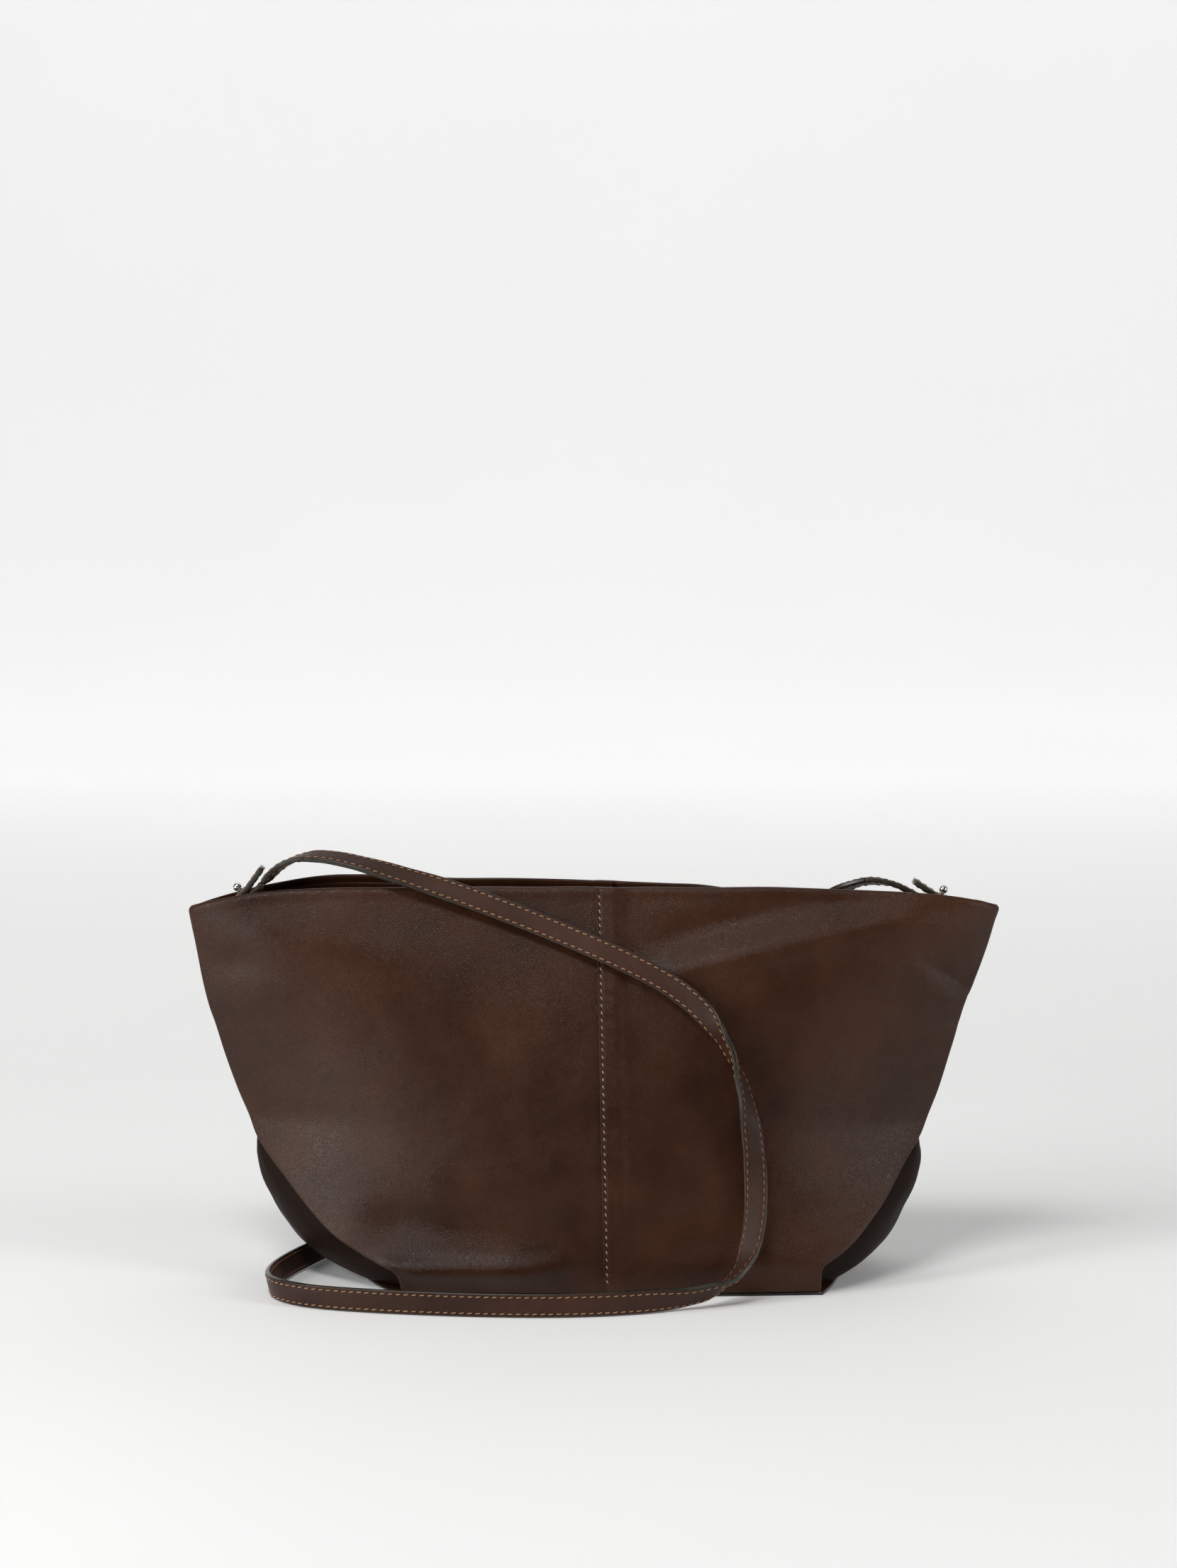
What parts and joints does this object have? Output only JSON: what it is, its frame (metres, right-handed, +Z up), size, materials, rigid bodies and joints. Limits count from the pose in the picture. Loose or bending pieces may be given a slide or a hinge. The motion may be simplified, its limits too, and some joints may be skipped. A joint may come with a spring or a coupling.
{
  "type": "crossbody purse",
  "caption": "Soft zip-top leather crossbody purse with a boarded base, folded end gussets and a long flat strap on swinging rings.",
  "frame": {"origin": "middle of the base, on the surface that the purse stands on", "axes": "+X along the zip towards its open end, +Y to the back of the purse, +Z up"},
  "size_m": [0.38, 0.1812, 0.201],
  "materials": {
    "leather": "smooth, low sheen",
    "strap_leather": "smooth, painted edges",
    "lining_cloth": "plain weave",
    "zip_cloth": "twill tape",
    "zip_metal": "antique",
    "hardware": "nickel plated",
    "board": "dense board"
  },
  "bodies": {
    "root": {"front_left_panel": "leather", "front_right_panel": "leather", "back_left_panel": "leather", "back_right_panel": "leather", "left_gusset": "leather", "right_gusset": "leather", "base_panel": "leather", "base_board": "board", "lining": "lining_cloth", "inner_pocket": "lining_cloth", "front_facing": "leather", "back_facing": "leather", "zip_tape_front": "zip_cloth", "zip_tape_back": "zip_cloth", "zip_teeth_front": "zip_metal", "zip_teeth_back": "zip_metal", "zip_top_stops": "zip_metal", "zip_bottom_stop": "zip_metal", "zip_end_tab_left": "leather", "zip_end_tab_right": "leather", "left_chape": "leather", "right_chape": "leather", "strap": "strap_leather"},
    "slider": {"zip_slider": "zip_metal"},
    "puller": {"zip_puller": "zip_metal", "zip_pull_tab": "leather"},
    "left_swing": {"left_ring": "hardware", "left_strap_end": "strap_leather", "left_stud": "hardware", "left_stud_screw": "hardware"},
    "right_swing": {"right_ring": "hardware", "right_strap_end": "strap_leather", "right_stud": "hardware", "right_stud_screw": "hardware"}
  },
  "joints": [
    {"name": "zip_slide", "type": "slide", "parent": "root", "child": "slider", "axis": [1, 0, 0], "range_m": [0, 0.236], "deforming": ["zip_tape_front", "zip_tape_back", "zip_teeth_front", "zip_teeth_back"]},
    {"name": "puller_swing", "type": "hinge", "parent": "slider", "child": "puller", "pos_m": [-0.118, 0, 0.1767], "axis": [0, 1, 0], "range_deg": [0, 118]},
    {"name": "left_ring_swing", "type": "hinge", "parent": "root", "child": "left_swing", "pos_m": [-0.17467, 0, 0.16833], "axis": [0, 1, 0], "range_deg": [-26, 20]},
    {"name": "right_ring_swing", "type": "hinge", "parent": "root", "child": "right_swing", "pos_m": [0.17112, 0, 0.17053], "axis": [0, 1, 0], "range_deg": [-5, 50]}
  ]
}
